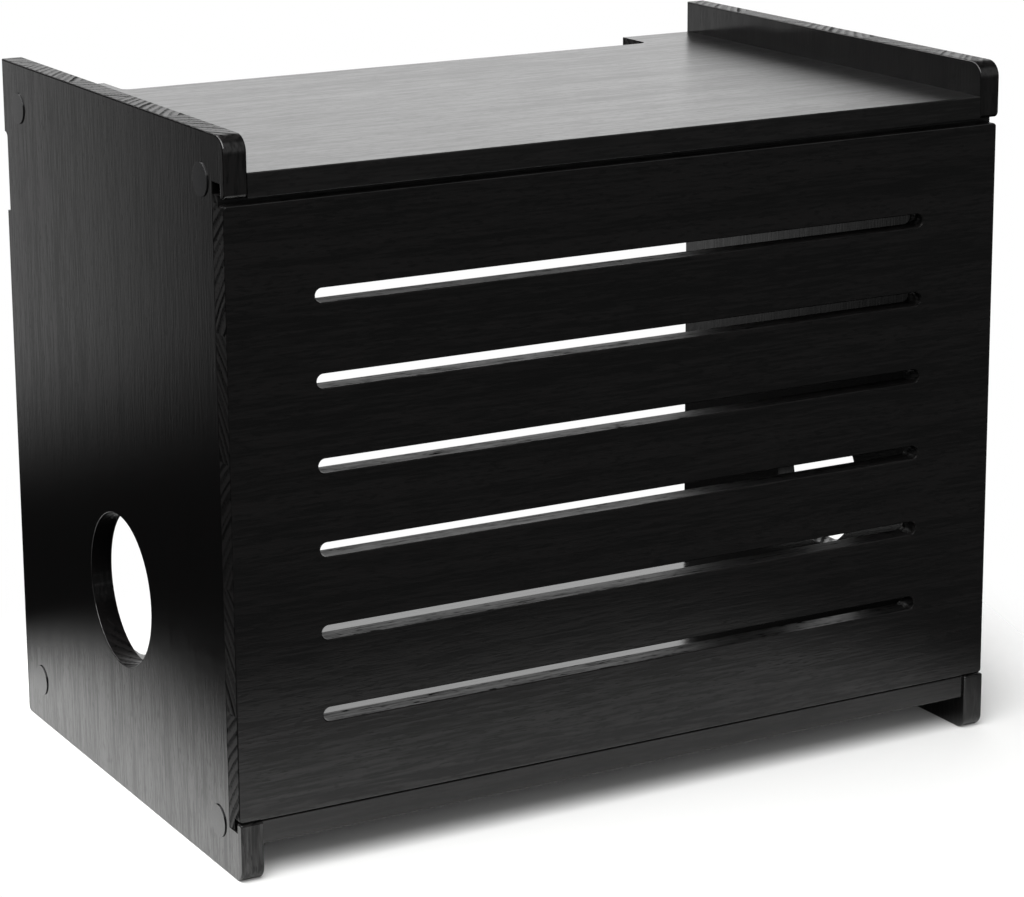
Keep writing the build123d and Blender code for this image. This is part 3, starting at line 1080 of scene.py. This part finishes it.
class ROUTERBOX_OT_studio(bpy.types.Operator):
    """Set the white table, the softbox, the backdrop and the camera"""

    bl_idname = "router_box.studio"
    bl_label = "Set the studio"

    def execute(self, context):
        studio = context.scene.router_box_studio
        context.scene.view_settings.view_transform = "Standard"
        self.set_table(studio)
        self.set_softbox(context, studio)
        self.set_backdrop(studio)
        self.set_room(context, studio)
        self.set_camera(context, studio)
        return {"FINISHED"}

    def set_table(self, studio):
        """Lay the white table under the box."""
        left = -studio.table_left - studio.table_soft
        front = -studio.table_front - studio.table_front_soft
        back = studio.table_back + studio.table_soft
        right = studio.table_right + studio.table_soft + studio.table_taper * back
        table = flat_sheet(
            "table", [(left, front, 0.0), (right, front, 0.0), (right, back, 0.0), (left, back, 0.0)],
            white_laminate(studio),
        )

    def set_softbox(self, context, studio):
        """Hang the softbox over the table."""
        lamp = bpy.data.lights.new("softbox", "AREA")
        lamp.shape = "RECTANGLE"
        lamp.size = studio.softbox_width
        lamp.size_y = studio.softbox_length
        lamp.energy = studio.softbox_power
        softbox = bpy.data.objects.new("softbox", lamp)
        softbox.location = studio.softbox_place
        softbox.visible_camera = False
        context.scene.collection.objects.link(softbox)

    def set_backdrop(self, studio):
        """Hang the white backdrop behind the table, where reflections show it and the camera doesn't."""
        left = studio.backdrop_dark
        right = studio.backdrop_right
        foot = studio.backdrop_foot - studio.backdrop_soft
        head = studio.backdrop_head + studio.backdrop_soft
        backdrop = flat_sheet(
            "backdrop", [(left, 0.0, foot), (right, 0.0, foot), (right, 0.0, head), (left, 0.0, head)],
            backlit_paper(studio),
        )
        backdrop.location = (0.0, studio.backdrop_distance, 0.0)
        backdrop.visible_camera = False

    def set_room(self, context, studio):
        """Make a world that is white to the camera and a dim room to everything else.

        In front of the box the room has a pale wall. It fades in over a span of directions: at its sides
        from one Y to another, and at its foot from one Z to another.
        """
        side_gone = -0.1
        side_full = -0.5
        foot_gone = -0.05
        foot_full = 0.20
        world = bpy.data.worlds.new("studio")
        world.use_nodes = True
        tree = world.node_tree
        tree.nodes.clear()
        direction = add(tree, "ShaderNodeTexCoord").outputs["Generated"]
        axes = add(tree, "ShaderNodeSeparateXYZ", {"Vector": direction})
        front = inside_edges(tree, [(axes.outputs["Y"], side_gone, side_full)])
        above = inside_edges(tree, [(axes.outputs["Z"], foot_gone, foot_full)])
        ahead = add(
            tree, "ShaderNodeMapRange",
            {"Value": above, "To Min": studio.front_floor, "To Max": studio.front_light},
        ).outputs["Result"]
        room = add(
            tree, "ShaderNodeMapRange", {"Value": front, "To Min": studio.room_light, "To Max": ahead}
        ).outputs["Result"]
        dim = add(tree, "ShaderNodeBackground", {"Color": WHITE, "Strength": room})
        page = add(tree, "ShaderNodeBackground", {"Color": WHITE, "Strength": 1.0})
        path = add(tree, "ShaderNodeLightPath")
        seen = add(
            tree, "ShaderNodeMixShader",
            {0: path.outputs["Is Camera Ray"], 1: dim.outputs["Background"], 2: page.outputs["Background"]},
        )
        add(tree, "ShaderNodeOutputWorld", {"Surface": seen.outputs["Shader"]})
        context.scene.world = world

    def set_camera(self, context, studio):
        """Stand the camera where the picture was taken from."""
        lens = bpy.data.cameras.new("camera")
        lens.sensor_fit = "HORIZONTAL"
        lens.lens = studio.focal_pixels * lens.sensor_width / PICTURE_WIDTH
        lens.shift_x = (PICTURE_WIDTH / 2 - studio.axis_pixel[0]) / PICTURE_WIDTH
        lens.shift_y = (studio.axis_pixel[1] - PICTURE_HEIGHT / 2) / PICTURE_WIDTH
        camera = bpy.data.objects.new("camera", lens)
        turn = Matrix.Rotation(-studio.heading, 4, "Z")
        turn = turn @ Matrix.Rotation(math.pi / 2 + studio.pitch, 4, "X")
        turn = turn @ Matrix.Rotation(studio.roll, 4, "Z")
        camera.matrix_world = Matrix.Translation(studio.eye) @ turn
        context.scene.collection.objects.link(camera)
        context.scene.camera = camera


class ROUTERBOX_PT_sidebar(bpy.types.Panel):
    """Lists the operators and settings of the router storage box"""

    bl_idname = "ROUTERBOX_PT_sidebar"
    bl_label = "Router storage box"
    bl_space_type = "VIEW_3D"
    bl_region_type = "UI"
    bl_category = "Router box"

    def draw(self, context):
        for operator in OPERATORS:
            self.layout.operator(operator.bl_idname)
        for name in SETTINGS:
            group = getattr(context.scene, name)
            box = self.layout.box()
            for setting in group.bl_rna.properties.keys():
                if setting not in ("rna_type", "name"):
                    box.prop(group, setting)


OPERATORS = (
    ROUTERBOX_OT_boards,
    ROUTERBOX_OT_cover_caps,
    ROUTERBOX_OT_assembly_screws,
    ROUTERBOX_OT_dowels,
    ROUTERBOX_OT_wall_hangers,
    ROUTERBOX_OT_studio,
)
SETTINGS = {
    "router_box_wood": RouterBoxWood,
    "router_box_fittings": RouterBoxFittings,
    "router_box_studio": RouterBoxStudio,
}


def register():
    """Register the settings, the operators and the panel."""
    for name, group in SETTINGS.items():
        bpy.utils.register_class(group)
        setattr(bpy.types.Scene, name, PointerProperty(type=group))
    for operator in OPERATORS:
        bpy.utils.register_class(operator)
    bpy.utils.register_class(ROUTERBOX_PT_sidebar)


def unregister():
    """Take the panel, the operators and the settings away again."""
    bpy.utils.unregister_class(ROUTERBOX_PT_sidebar)
    for operator in reversed(OPERATORS):
        bpy.utils.unregister_class(operator)
    for name, group in reversed(SETTINGS.items()):
        delattr(bpy.types.Scene, name)
        bpy.utils.unregister_class(group)


def main():
    """Register the add-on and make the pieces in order."""
    register()
    bpy.ops.router_box.boards()
    bpy.ops.router_box.cover_caps()
    bpy.ops.router_box.assembly_screws()
    bpy.ops.router_box.dowels()
    bpy.ops.router_box.wall_hangers()
    bpy.ops.router_box.studio()


if __name__ == "__main__":
    main()
